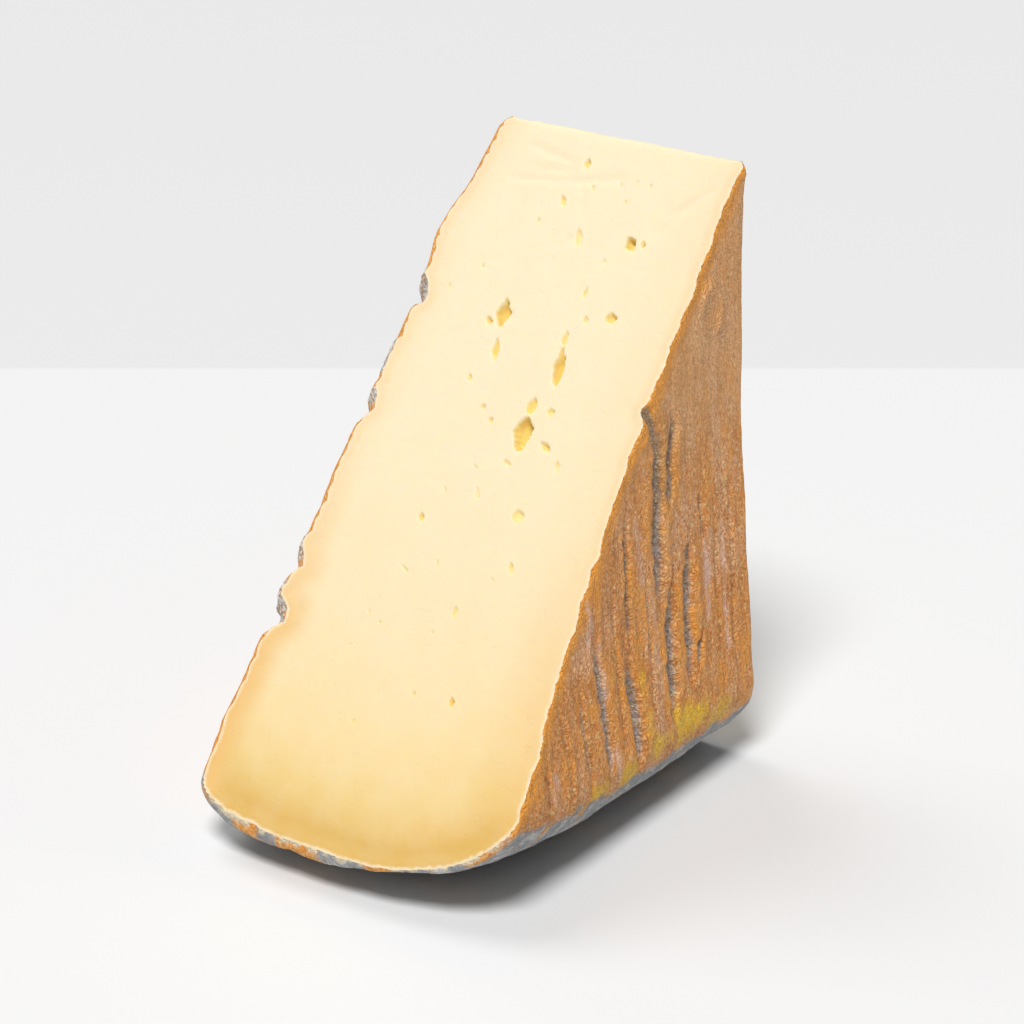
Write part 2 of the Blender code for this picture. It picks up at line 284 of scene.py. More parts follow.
def tone(red, green, blue, light=1.0):
    """A screen colour, 0 to 255, as the linear colour of a surface that shows it under this light."""
    channels = (value / 255.0 for value in (red, green, blue))
    linear = (c / 12.92 if c < 0.04045 else ((c + 0.055) / 1.055) ** 2.4 for c in channels)
    return tuple(min(c / light, 0.95) for c in linear)


class CheeseSizes(bpy.types.PropertyGroup):
    """Sizes of the fine surface."""

    cut_spacing: FloatProperty(
        name="Cut spacing", description="Distance between the points of a cut face",
        default=0.72 * MM, unit="LENGTH",
    )
    eye_spacing: FloatProperty(
        name="Eye spacing", description="Distance between the points in and round an eye",
        default=0.25 * MM, unit="LENGTH",
    )
    stations: IntProperty(
        name="Stations", description="Rows of faces along the slab's side",
        default=200, min=60,
    )
    lip: FloatProperty(
        name="Lip", description="How far the rind's edge stands out of a cut",
        default=0.22 * MM, unit="LENGTH",
    )
    granule: FloatProperty(
        name="Granule", description="Height of the rind's granules",
        default=0.11 * MM, unit="LENGTH",
    )


def swatch(label, text, colour):
    """A colour property with its default."""
    return FloatVectorProperty(
        name=label, description=text, subtype="COLOR", size=3, min=0.0, max=1.0, default=colour
    )


class CheeseColours(bpy.types.PropertyGroup):
    """Colours of the paste, the rind and the mould."""

    white: swatch("White", "Palest clouds of the paste", tone(255, 245, 216, PASTE_LIGHT))
    heart: swatch("Heart", "Paste in the middle of the cut", tone(258, 241, 205, PASTE_LIGHT))
    cream: swatch("Cream", "Paste a little nearer the rim", tone(256, 234, 191, PASTE_LIGHT))
    straw: swatch("Straw", "Paste a finger's width above the rim", tone(254, 228, 173, PASTE_LIGHT))
    golden: swatch("Golden", "Ripe paste above the rim", tone(247, 216, 145, PASTE_LIGHT))
    ripe: swatch("Ripe", "Ripest paste at the rim", tone(231, 189, 101, PASTE_LIGHT))
    under_rind: swatch("Under the rind", "Paste that touches the rind", tone(246, 199, 122, PASTE_LIGHT))
    # painted shade: the deeper yellow that stands for the shade inside the eyes' hollows
    eye: swatch("Eye", "Paste inside an eye", tone(262, 231, 126, PASTE_LIGHT))
    lip: swatch("Lip", "Torn, crusty edge of the rind", tone(252, 234, 200, PASTE_LIGHT))
    rind: swatch("Rind", "Orange-brown of the rind", tone(196, 130, 68, RIND_LIGHT))
    rind_dusty: swatch("Dusty rind", "Rind under a dusty bloom", tone(207, 151, 109, RIND_LIGHT))
    rind_dark: swatch("Dark rind", "Brown of the rind's hollows", tone(148, 90, 46, RIND_LIGHT))
    # painted light: a lighter rind colour towards the top, making up for the weaker light there
    rind_top_painted_light: swatch("High rind", "Rind near the tip", tone(228, 156, 104, RIND_LIGHT))
    rind_pale: swatch("Pale rind", "Dry tops of the rind", tone(226, 176, 126, RIND_LIGHT))
    edge: swatch("Edge", "Moist golden rind beside a cut", tone(208, 134, 48, RIND_LIGHT))
    # partly the crystals' own pale colour and partly painted highlight of their glint
    grain: swatch("Grain", "Golden grains", tone(222, 180, 126, RIND_LIGHT))
    mould_dark: swatch("Dark mould", "Grey-brown mould in the cracks", tone(126, 104, 82, RIND_LIGHT))
    mould_slate: swatch("Slate mould", "Blue-grey mould in the lower cracks", tone(148, 144, 146, RIND_LIGHT))
    mould_grey: swatch("Grey mould", "Grey mould of the rim", tone(160, 163, 165))
    mould_white: swatch("White mould", "Chalky mould", tone(214, 212, 206))
    bloom: swatch("Bloom", "Lilac-white bloom", tone(196, 168, 158, RIND_LIGHT))
    yellow: swatch("Yellow", "Mustard-yellow patches", tone(218, 160, 40, RIND_LIGHT))
    orange: swatch("Orange", "Bare orange rind of the rim", tone(240, 156, 66))
    orange_pale: swatch("Pale orange", "Dry tops of the bare rind", tone(246, 200, 132))
    crumb_brown: swatch("Brown crumbs", "Hollows of the crumbly mould", tone(186, 150, 116))
    crumb_white: swatch("White crumbs", "Tops of the crumbly mould", tone(244, 238, 226))


def smooth_step(low, high, value):
    """0 below low, 1 above high and smooth between."""
    share = np.clip((value - low) / (high - low), 0.0, 1.0)
    return share * share * (3.0 - 2.0 * share)


def wobble(points, size, seed=0.0):
    """Noise between about -1 and 1 at each row of points, whose features are as wide as size."""
    scaled = np.asarray(points) / np.asarray(size) + seed
    return np.array([noise.noise(point) for point in scaled.tolist()])


def waves(points, layers):
    """The sum of some waves of noise at each row of points."""
    return sum(height * wobble(points, size, seed) for height, size, seed in layers)


def hump(distance, width):
    """1 at no distance, falling away smoothly on both sides."""
    return np.exp(-((distance / width) ** 2))


def fading(distance, reach):
    """1 at no distance, fading away on one side over the reach."""
    return np.exp(-np.clip(distance, 0.0, None) / reach)


def on_plane(first, second):
    """Rows of points for the noise, from two coordinates."""
    return np.stack([first, second, np.zeros_like(first)], axis=1)


def in_place(across, along, down):
    """From the slab's directions, in millimetres, to where the wedge stands, in metres."""
    y = -along * math.cos(LEAN) - down * math.sin(LEAN)
    z = along * math.sin(LEAN) - down * math.cos(LEAN)
    return np.stack(np.broadcast_arrays(across, y, z), axis=-1) * MM + TIP


def in_slab(points):
    """From metres where the wedge stands to across, along and down, in millimetres."""
    x, y, z = ((np.asarray(points) - TIP) / MM).T
    return x, -y * math.cos(LEAN) + z * math.sin(LEAN), -y * math.sin(LEAN) - z * math.cos(LEAN)


def direction(along, down):
    """A unit direction in the slab's plane as the wedge stands."""
    return (in_place(0.0, along, down) - TIP) / MM


def behind_front_cut(along, down):
    """How far behind the front cut's plane."""
    return down * math.sin(WEDGE_ANGLE) - along * math.cos(WEDGE_ANGLE)


def below_tip(along, down):
    """How far below the uncut tip, midway between the cuts."""
    return along * math.sin(WEDGE_ANGLE / 2.0) + down * math.cos(WEDGE_ANGLE / 2.0)


def rim_depth(along):
    """How far down the middle of the rim lies."""
    share = np.clip(along, 0.0, None) / HALF_SIDE
    return HALF_SIDE * (1.0 - share**CORNER_POWER) ** (1.0 / CORNER_POWER)


def half_thickness(right, down):
    """From the slab's middle plane to its right or left rind, before any relief."""
    share = np.clip(down / HALF_SIDE, 0.0, 1.0)
    bow = np.sin(np.pi * share)
    lip = TIP_LIP * (1.0 - smooth_step(0.0, TIP_LIP_REACH, down))
    to_right = RIGHT_AT_CENTRE + (RIGHT_AT_RIM - RIGHT_AT_CENTRE) * share - RIGHT_SINK * bow + lip
    to_left = LEFT_AT_CENTRE + (LEFT_AT_RIM - LEFT_AT_CENTRE) * share + LEFT_BELLY * bow
    return np.where(right, to_right, to_left)


def even_rind(round_share, along):
    """Across and down of the even rind. round_share runs from the left rind's top to the right rind's."""
    rows = round_share * (LEFT_ROWS + RIM_COLUMNS + RIGHT_ROWS)
    rim = rim_depth(along)
    turn = np.pi * (np.clip((rows - LEFT_ROWS) / RIM_COLUMNS, 0.0, 1.0) - 0.5)
    reach = np.sign(turn) * np.abs(np.sin(turn)) ** (2.0 / CROWN_POWER)
    crown = np.where(turn > 0.0, RIGHT_CROWN, LEFT_CROWN)
    crown_down = rim - crown * (1.0 - np.abs(np.cos(turn)) ** (2.0 / CROWN_POWER))
    left = rows < LEFT_ROWS
    right = rows > LEFT_ROWS + RIM_COLUMNS
    left_down = SHEET_TOP + (rim - LEFT_CROWN - SHEET_TOP) * rows / LEFT_ROWS
    right_share = (LEFT_ROWS + RIM_COLUMNS + RIGHT_ROWS - rows) / RIGHT_ROWS
    right_down = SHEET_TOP + (rim - RIGHT_CROWN - SHEET_TOP) * right_share
    down = np.where(left, left_down, np.where(right, right_down, crown_down))
    share = np.where(left, -1.0, np.where(right, 1.0, reach))
    across = share * half_thickness(turn > 0.0, down)
    down = down - RIM_TILT * across * smooth_step(RIM_TILT_START, RIM_TILT_END, down)
    on_rim = np.where(left | right, 0.0, smooth_step(0.0, 0.7, np.cos(turn)))
    return across, down, on_rim


def cracks_at(cracks, along, down):
    """The deepest crack's depth at each place, its share of a full one and the swelling beside it."""
    depth = np.zeros_like(along)
    open_share = np.zeros_like(along)
    swollen = np.zeros_like(along)
    plane = on_plane(along, down)
    drift = 0.25 * wobble(plane, (40.0, 5.0, 1.0), 3.0)
    ragged = 1.0 + 0.45 * wobble(plane, (3.0, 1.6, 1.0), 8.0)
    for top_along, bottom_along, start, end, half_width, deep in cracks:
        share = (down - start) / (end - start)
        inside = (share > 0.0) & (share < 1.0)
        centre = top_along + (bottom_along - top_along) * share + 0.25 * np.sin(7.0 * share + start) + drift
        fade = np.clip(np.minimum(3.2 * share, 4.0 * (1.0 - share)), 0.0, 1.0) * inside
        offset = np.abs(along - centre) / ((0.35 + 0.8 * np.sqrt(fade)) * half_width * ragged)
        shape = fade * (1.0 - smooth_step(0.3, 1.0, offset))
        depth = np.maximum(depth, deep * shape)
        open_share = np.maximum(open_share, shape * min(1.0, deep / 1.2))
        swollen = np.maximum(swollen, fade * hump(offset - 1.5, 0.6) * min(1.0, deep / 1.5))
    return depth, open_share, swollen


def marks_at(marks, along, down):
    """Strength of the strongest mark at each place, with a ragged outline."""
    ragged = waves(on_plane(along, down), MARK_OUTLINE)
    strongest = np.zeros_like(along)
    for mark_along, mark_down, half_width, half_height, strength in marks:
        distance = np.hypot((along - mark_along) / half_width, (down - mark_down) / half_height)
        strongest = np.maximum(strongest, strength * (1.0 - smooth_step(0.4, 1.15, distance + ragged)))
    return strongest


def round_over(behind, radius):
    """How far a rounded edge falls away at each distance behind a cut."""
    short = np.clip(radius - np.clip(behind, 0.0, None), 0.0, None)
    return radius - np.sqrt(np.clip(radius**2 - short**2, 0.0, None))


def rind_relief(across, along, down, on_rim, granule):
    """Height of the rind above its even surface, in millimetres, and the masks that colour it."""
    right = across > 0.0
    side = np.where(right, 31.0, -31.0)
    place = np.stack([side, along, down], axis=1)
    solid = np.stack([across, along, down], axis=1)
    behind_front = behind_front_cut(along, down)
    low = smooth_step(25.0, 62.0, down)
    ribs = (0.05 + 0.2 * low) * wobble(place, (1.0, 1.5, 15.0), 9.7)
    wrinkles = (0.05 + 0.035 * low) * wobble(place, (1.0, 0.8, 2.0), 1.9)
    right_depth, right_open, right_swollen = cracks_at(RIGHT_CRACKS, along, down)
    left_depth, left_open, left_swollen = cracks_at(LEFT_CRACKS, along, down)
    chalk = ~right * np.maximum(marks_at(LEFT_CHALK, along, down), 0.2 * left_open) * (1.0 - on_rim)
    depth = np.where(right, right_depth, left_depth)
    opened = np.where(right, right_open, 0.4 * left_open) * (1.0 - on_rim)
    swollen = np.where(right, right_swollen, left_swollen)
    grains = wobble(solid, 0.62, 2.2)
    spread = 0.6 + 0.6 * wobble(place, (1.0, 3.0, 6.0), 15.0)
    grain_marks = right * marks_at(GRAIN_MARKS, along, down)
    grainy = np.clip(0.15 + 0.5 * low + 0.8 * opened, 0.0, 1.3) * spread + 0.7 * grain_marks + 1.6 * chalk
    curl_along, curl_down, curl_radius, curl_height = RIGHT_RIDGE
    curl = np.hypot(along - curl_along, 0.6 * (down - curl_down)) - curl_radius
    curl_side = smooth_step(-1.5, 2.0, curl_down - down + 0.8 * (curl_along - along) + 2.0)
    ridge = curl_height * hump(curl, 0.7) * curl_side
    ragged_edge = waves(place, FRONT_EDGE_WAVES) * fading(behind_front, 3.0)
    bulge = 0.35 * chalk
    for middle, half_width, high in LEFT_SWELLINGS:
        bulge += high * hump(along - middle, half_width)
    flat_rind = waves(place, FACE_LUMPS) + ribs + wrinkles - depth + 0.3 * swollen
    flat_rind = flat_rind + np.where(right, ridge + ragged_edge, bulge)
    height = (1.0 - on_rim) * flat_rind + on_rim * waves(solid, RIM_LUMPS)
    height = height + granule / MM * np.clip(grains, 0.0, 1.0) * np.clip(grainy, 0.0, 2.4)
    on_face = np.where(right, RIGHT_EDGE, LEFT_EDGE)
    across_rim = np.interp(across, RIM_EDGE_ACROSS, RIM_EDGE_RADIUS)
    radius = on_face + (across_rim - on_face) * smooth_step(0.0, 0.6, on_rim)
    radius = radius * (1.0 + waves(solid, EDGE_RADIUS_WAVES))
    ridge_radius = np.where(right, RIGHT_RIDGE_CORNER, LEFT_RIDGE_CORNER)
    height = height - round_over(behind_front, radius) - round_over(along, REAR_EDGE)
    height = height - round_over(below_tip(along, down) - BLUNT_TIP, ridge_radius)
    height = height + FRONT_FLARE * radius * fading(behind_front, FLARE_REACH)
    rear_flare = np.interp(down, REAR_FLARE_DOWN, REAR_FLARE) * right * (1.0 - on_rim)
    height = height + rear_flare * fading(along, FLARE_REACH)
    reach = rim_depth(along) - down
    border = 5.6 + 6.0 * smooth_step(0.0, 22.0, across) + waves(solid, MOULD_BORDER_WAVES)
    frayed = waves(solid, BARE_OUTLINE)
    bare = np.zeros_like(along)
    for middle, half_width, back in BARE_MARKS:
        beside = smooth_step(0.75, 1.1, np.abs(across - middle) / half_width + frayed)
        bare = np.maximum(bare, (1.0 - beside) * (1.0 - smooth_step(0.7, 1.1, behind_front / back + frayed)))
    band = 1.0 - smooth_step(0.25, 1.15, behind_front / (3.2 + waves(place, GOLDEN_BAND_WAVES)))
    rear_band = 0.8 * fading(along, 0.8) * (0.4 + 0.6 * low)
    crust = on_rim * fading(behind_front, 0.35)
    masks = {
        "crack": opened,
        "grey": 1.0 - smooth_step(-0.6, 0.7, reach - border),
        # grains: pale granules, partly their own colour and partly painted highlight
        "grains": np.clip(grains * grainy * 1.6, 0.0, 1.0),
        "yellow": right * marks_at(YELLOW_MARKS, along, down),
        "bloom": right * marks_at(BLOOM_MARKS, along, down),
        "dark": right * marks_at(DARK_MARKS, along, down),
        "beside": right * swollen * (1.0 - on_rim),
        "edge": np.maximum(band * np.where(right, 1.0, 0.8), rear_band),
        "chalk": chalk,
        "bare": bare * on_rim,
        "crust": crust * smooth_step(-0.25, 0.15, wobble(solid, 1.6, 70.0)),
        "low": low,
    }
    return height, masks


def only_selected(piece):
    """Makes a piece the only selected and active object."""
    bpy.ops.object.select_all(action="DESELECT")
    piece.select_set(True)
    bpy.context.view_layer.objects.active = piece


def mesh_points(mesh):
    """Where a mesh's points are, a row each."""
    places = np.empty(len(mesh.vertices) * 3)
    mesh.vertices.foreach_get("co", places)
    return places.reshape(-1, 3)


def rind_sheet(sizes):
    """A grid wrapped round the slab as its rind, with its relief, cut to the wedge by three planes."""
    bpy.ops.object.select_all(action="DESELECT")
    round_rows = LEFT_ROWS + RIM_COLUMNS + RIGHT_ROWS
    bpy.ops.mesh.primitive_grid_add(x_subdivisions=round_rows, y_subdivisions=sizes.stations, size=1.0)
    sheet = bpy.context.object
    sheet.name = "soft_cheese"
    flat = mesh_points(sheet.data)
    count = len(flat)
    share = flat[:, 0] + 0.5
    along = SHEET_START + (SHEET_END - SHEET_START) * (flat[:, 1] + 0.5)
    across, down, on_rim = even_rind(share, along)
    step = 1e-3
    across_on, down_on, _ = even_rind(np.clip(share + step, 0.0, 1.0), along)
    across_back, down_back, _ = even_rind(np.clip(share - step, 0.0, 1.0), along)
    across_far, down_far, _ = even_rind(share, along + 0.2)
    round_it = np.stack([across_on - across_back, np.zeros(count), down_on - down_back], axis=1)
    along_it = np.stack([across_far - across, np.full(count, 0.2), down_far - down], axis=1)
    outward = np.cross(along_it, round_it)
    outward /= np.linalg.norm(outward, axis=1, keepdims=True)
    from_middle = np.stack([across, np.zeros(count), down - MIDDLE_DOWN], axis=1)
    outward *= np.where((outward * from_middle).sum(1) < 0, -1, 1)[:, None]
    kept = along < math.tan(WEDGE_ANGLE) * down + 4.0
    height = np.zeros(count)
    masks = {}
    found, found_masks = rind_relief(across[kept], along[kept], down[kept], on_rim[kept], sizes.granule)
    height[kept] = found
    for name, values in found_masks.items():
        masks[name] = np.zeros(count)
        masks[name][kept] = values
    placed = in_place(
        across + outward[:, 0] * height, along + outward[:, 1] * height, down + outward[:, 2] * height
    )
    placed[:, 2] = np.maximum(placed[:, 2], 0.0)
    sheet.data.vertices.foreach_set("co", placed.ravel())
    for name, values in masks.items():
        attribute = sheet.data.attributes.new(name, "FLOAT", "POINT")
        attribute.data.foreach_set("value", values)
    tip = Vector(TIP)
    half = WEDGE_ANGLE / 2.0
    blunt = direction(-math.sin(half), -math.cos(half))
    only_selected(sheet)
    bpy.ops.object.mode_set(mode="EDIT")
    for point, normal in (
        (tip, direction(-1.0, 0.0)),
        (tip, direction(math.cos(WEDGE_ANGLE), -math.sin(WEDGE_ANGLE))),
        (tip - Vector(blunt) * BLUNT_TIP * MM, blunt),
    ):
        bpy.ops.mesh.select_all(action="SELECT")
        bpy.ops.mesh.bisect(
            plane_co=point, plane_no=Vector(normal), use_fill=False, clear_outer=True, threshold=1e-7
        )
    bpy.ops.mesh.select_all(action="SELECT")
    bpy.ops.mesh.remove_doubles(threshold=WELD * MM)
    bpy.ops.object.mode_set(mode="OBJECT")
    return sheet


def in_eye(eye, x, s):
    """Places across and along an eye, from its middle, of points across and down its cut."""
    middle_x, middle_s, _, _, slant, _ = eye
    turn = math.radians(slant)
    u = (x - middle_x) * math.cos(turn) - (s - middle_s) * math.sin(turn)
    v = (x - middle_x) * math.sin(turn) + (s - middle_s) * math.cos(turn)
    return u, v


def eye_depth(eyes, x, s):
    """Depth of a cut's eyes at each of its points, in millimetres, and how far inside an eye it is, as the
    strength of the painted shade inside the eye, stronger in deeper eyes.
    """
    depth = np.zeros_like(x)
    inside = np.zeros_like(x)
    ragged = waves(on_plane(x, s), EYE_OUTLINE)
    for eye in eyes:
        _, _, width, length, _, deep = eye
        u, v = in_eye(eye, x, s)
        v = v / (length / 2.0)
        pinched = width / 2.0 * np.clip(1.05 - 0.75 * np.abs(v) ** 1.2 + 0.22 * v, 0.25, 1.2)
        r = np.hypot(u / pinched, v) + ragged
        bowl = (1.0 - smooth_step(0.55, 0.98, r)) * deep * np.clip(0.7 + 0.5 * u / pinched, 0.25, 1.15)
        depth = np.maximum(depth, bowl)
        # strength of the painted shade inside the eye, stronger the deeper the eye
        inside = np.maximum(inside, (1.0 - smooth_step(0.7, 1.02, r)) * min(1.0, 0.35 + deep / 2.4))
    return depth, inside


def nearest(points, targets):
    """Distance of each point to the nearest of the targets."""
    tree = kdtree.KDTree(len(targets))
    for number, point in enumerate(targets):
        tree.insert((point[0], point[1], 0.0), number)
    tree.balance()
    return np.array([tree.find((x, y, 0.0))[2] for x, y in points])


def points_of_cut(outline, spacing, fine_spacing, eyes):
    """Points that fill an outline: an even triangular pattern, closer together round the eyes."""
    low, high = outline.min(0), outline.max(0)
    draw = np.random.default_rng(PATTERN_SEED)

    def pattern(low_corner, high_corner, gap):
        rows = np.arange(low_corner[1], high_corner[1], gap * ROW_HEIGHT)
        columns = np.arange(low_corner[0], high_corner[0], gap)
        grid = np.stack(np.meshgrid(columns, rows), axis=-1)
        grid[1::2, :, 0] += gap / 2.0
        grid = grid.reshape(-1, 2)
        return grid + draw.uniform(-0.12, 0.12, grid.shape) * gap

    def round_eye(points, eye, grow):
        u, v = in_eye(eye, points[:, 0], points[:, 1])
        return np.hypot(u / (eye[2] / 2.0 + grow), v / (eye[3] / 2.0 + grow)) < 1.0

    coarse = pattern(low, high, spacing)
    found = []
    for number, eye in enumerate(eyes):
        middle_x, middle_s, _, length, _, _ = eye
        reach = length / 2.0 + 1.0
        gap = fine_spacing if length < 3.0 else fine_spacing * 1.15
        fine = pattern((middle_x - reach, middle_s - reach), (middle_x + reach, middle_s + reach), gap)
        fine = fine[round_eye(fine, eye, 0.35)]
        for other in eyes[:number]:
            fine = fine[~round_eye(fine, other, 0.35)]
        coarse = coarse[~round_eye(coarse, eye, 0.6)]
        found.append(fine)
    points = np.concatenate([coarse, *found])
    inside = np.zeros(len(points), dtype=bool)
    ends = np.roll(outline, -1, axis=0)
    for start, end in zip(outline, ends):
        crosses = (start[1] > points[:, 1]) != (end[1] > points[:, 1])
        with np.errstate(divide="ignore", invalid="ignore"):
            at = (end[0] - start[0]) * (points[:, 1] - start[1]) / (end[1] - start[1]) + start[0]
        inside ^= crosses & (points[:, 0] < at)
    points = points[inside]
    return points[nearest(points, outline) > CLEAR_OF_OUTLINE]


def rind_boundary(shape):
    """The boundary of the rind sheet as one closed run of points."""
    edges = [edge for edge in shape.edges if edge.is_boundary]
    follow = {}
    for edge in edges:
        for vertex in edge.verts:
            follow.setdefault(vertex, []).append(edge.other_vert(vertex))
    start = edges[0].verts[0]
    loop = [start]
    before, here = None, start
    while True:
        onward = [vertex for vertex in follow[here] if vertex is not before]
        before, here = here, onward[0]
        if here is start:
            break
        loop.append(here)
    if len(loop) != len(edges):
        raise RuntimeError("the rind's boundary is not one closed run")
    return loop


def ripeness(from_rim):
    """How ripe the paste is at each distance from the rim: 1 beside it, fading fast and then slowly."""
    return 0.6 * np.exp(-from_rim / 5.0) + 0.4 * np.exp(-from_rim / 28.0)


def crease_depth(creases, x, s):
    """How deep the creases of a cut are at each of its points, in millimetres."""
    depth = np.zeros_like(x)
    for start_x, start_s, end_x, end_s in creases:
        run_x, run_s = end_x - start_x, end_s - start_s
        length = math.hypot(run_x, run_s)
        share = np.clip(((x - start_x) * run_x + (s - start_s) * run_s) / length**2, 0.0, 1.0)
        away = np.hypot(x - start_x - share * run_x, s - start_s - share * run_s)
        depth += CREASE_DEPTH * hump(away, CREASE_WIDTH)
    return depth


def fill_cut(shape, chain, rind_count, down_it, normal, eyes, creases, sizes, layers):
    """Closes one cut: a fine mesh inside the chain, whose first points are rind, hollowed by the eyes."""
    places = (np.array([vertex.co for vertex in chain]) - TIP) / MM
    outline = np.stack([places[:, 0], places @ down_it], axis=1)
    inner = points_of_cut(outline, sizes.cut_spacing / MM, sizes.eye_spacing / MM, eyes)
    flat = [Vector(point) for point in outline.tolist()] + [Vector(point) for point in inner.tolist()]
    loop = list(range(len(chain)))
    verts, _, faces, origins, _, _ = geometry.delaunay_2d_cdt(flat, [], [loop], 1, 1e-5)
    if len(verts) != len(flat):
        raise RuntimeError("the cut's outline crosses itself")
    x, s = inner[:, 0], inner[:, 1]
    depth, inside = eye_depth(eyes, x, s)
    rind = outline[:rind_count]
    from_rind = nearest(inner, rind)
    low_down = rind[:, 1] > outline[:, 1].max() - RIPE_RIM_DOWN
    rim = rind[low_down & (np.abs(rind[:, 0] - RIPE_RIM_MIDDLE) < RIPE_RIM_HALF)]
    ripe = ripeness(nearest(inner, rim))
    plane = np.stack([x, s, np.full_like(x, normal[1] * 9.0)], axis=1)
    lip = sizes.lip / MM * (0.7 + 0.5 * wobble(plane, 3.0, 2.0)) * hump(from_rind, 0.75)
    sag = -0.12 * hump(from_rind - 2.4, 1.3)
    height = (waves(plane, PASTE_SWELL) + lip + sag) * smooth_step(0.0, 0.6, from_rind)
    height = height - depth - crease_depth(creases, x, s)
    solid = TIP + MM * (np.outer(x, (1.0, 0.0, 0.0)) + np.outer(s, down_it) + np.outer(height, normal))
    made = [shape.verts.new(point) for point in solid.tolist()]
    for number, vertex in enumerate(made):
        # the eye layer carries the strength of the painted shade inside the eyes
        vertex[layers["eye"]] = inside[number]
        vertex[layers["from_rind"]] = from_rind[number]
        vertex[layers["ripe"]] = ripe[number]
    for vertex, value in zip(chain, ripeness(nearest(outline, rim))):
        vertex[layers["ripe"]] = value
    everything = list(chain) + made
    kept = [everything[source[0]] for source in origins]
    for corners in faces:
        face = shape.faces.new([kept[corner] for corner in corners])
        face.material_index = PASTE_LOOK


def rear_eyes():
    """Eyes of the hidden rear cut, drawn by a seeded rule with the front's range of sizes."""
    draw = random.Random(REAR_SEED)
    eyes = []
    for _ in range(REAR_EYES):
        large = draw.random() < 0.16
        width = draw.uniform(1.8, 3.4) if large else draw.uniform(0.45, 1.3)
        length = width * draw.uniform(1.2, 2.6)
        deep = width * draw.uniform(0.7, 1.0)
        middle = draw.gauss(0.0, 8.5), draw.uniform(6.0, 82.0)
        eyes.append((*middle, width, length, draw.uniform(-35.0, 35.0), deep))
    return tuple(eye for eye in eyes if abs(eye[0]) < 17.0)


def close_wedge(sheet, sizes):
    """Fills the front cut, the rear cut and the blunt ridge between them."""
    shape = bmesh.new()
    shape.from_mesh(sheet.data)
    # the eye layer holds the painted shade inside the eyes
    layers = {name: shape.verts.layers.float.new(name) for name in ("eye", "from_rind", "ripe")}
    loop = rind_boundary(shape)
    places = np.array([vertex.co for vertex in loop])
    across, along, down = in_slab(places)
    half = WEDGE_ANGLE / 2.0
    front_side = along * math.cos(half) - down * math.sin(half) > 0.0
    on_blunt = below_tip(along, down) < BLUNT_TIP + 0.03
    corners = {}
    for side in (-1, 1):
        here = np.flatnonzero(on_blunt & (across * side > 0.0))
        behind_front = behind_front_cut(along[here], down[here])
        corners[side] = {
            "front": int(here[np.argmin(behind_front)]),
            "rear": int(here[np.argmin(along[here])]),
        }

    def run(first, last, wanted):
        """The loop's points from first to last, the way round that the wanted test holds."""
        total = len(loop)
        forward = [(first + step) % total for step in range((last - first) % total + 1)]
        backward = [(first - step) % total for step in range((first - last) % total + 1)]
        return max((forward, backward), key=lambda way: sum(wanted[index] for index in way) / len(way))

    front_run = run(corners[-1]["front"], corners[1]["front"], front_side)
    rear_run = run(corners[-1]["rear"], corners[1]["rear"], ~front_side)
    ridges = []
    for kind in ("front", "rear"):
        left, right = loop[corners[-1][kind]], loop[corners[1][kind]]
        steps = int((right.co - left.co).length / (RIDGE_STEP * MM))
        between = [shape.verts.new(left.co.lerp(right.co, step / steps)) for step in range(1, steps)]
        for vertex in between:
            vertex[layers["from_rind"]] = 12.0
        ridges.append([left, *between, right])
    front_ridge, rear_ridge = ridges
    front_down = direction(math.sin(WEDGE_ANGLE), math.cos(WEDGE_ANGLE))
    front_out = direction(math.cos(WEDGE_ANGLE), -math.sin(WEDGE_ANGLE))
    rear_down, rear_out = direction(0.0, 1.0), direction(-1.0, 0.0)
    front_chain = [loop[index] for index in front_run] + list(reversed(front_ridge[1:-1]))
    rear_chain = [loop[index] for index in rear_run] + list(reversed(rear_ridge[1:-1]))
    fill_cut(shape, front_chain, len(front_run), front_down, front_out, FRONT_EYES, CREASES, sizes, layers)
    fill_cut(shape, rear_chain, len(rear_run), rear_down, rear_out, rear_eyes(), (), sizes, layers)
    bridge_ridge(shape, front_ridge, rear_ridge)
    ridge_ends = [edge for edge in shape.edges if edge.is_boundary]
    bmesh.ops.holes_fill(shape, edges=ridge_ends, sides=8)
    bmesh.ops.triangulate(shape, faces=[face for face in shape.faces if len(face.verts) > 3])
    if not all(edge.is_manifold for edge in shape.edges):
        raise RuntimeError("the wedge isn't closed")
    bmesh.ops.recalc_face_normals(shape, faces=shape.faces)
    shape.to_mesh(sheet.data)
    shape.free()


def bridge_ridge(shape, front_ridge, rear_ridge):
    """Joins the two edges of the blunt ridge with a strip of triangles."""
    near, far = 0, 0
    while near < len(front_ridge) - 1 or far < len(rear_ridge) - 1:
        next_near = front_ridge[near + 1].co.x if near < len(front_ridge) - 1 else math.inf
        next_far = rear_ridge[far + 1].co.x if far < len(rear_ridge) - 1 else math.inf
        if next_near <= next_far:
            corners = (front_ridge[near], front_ridge[near + 1], rear_ridge[far])
            near += 1
        else:
            corners = (front_ridge[near], rear_ridge[far + 1], rear_ridge[far])
            far += 1
        if len(set(corners)) == 3:
            shape.faces.new(corners).material_index = PASTE_LOOK


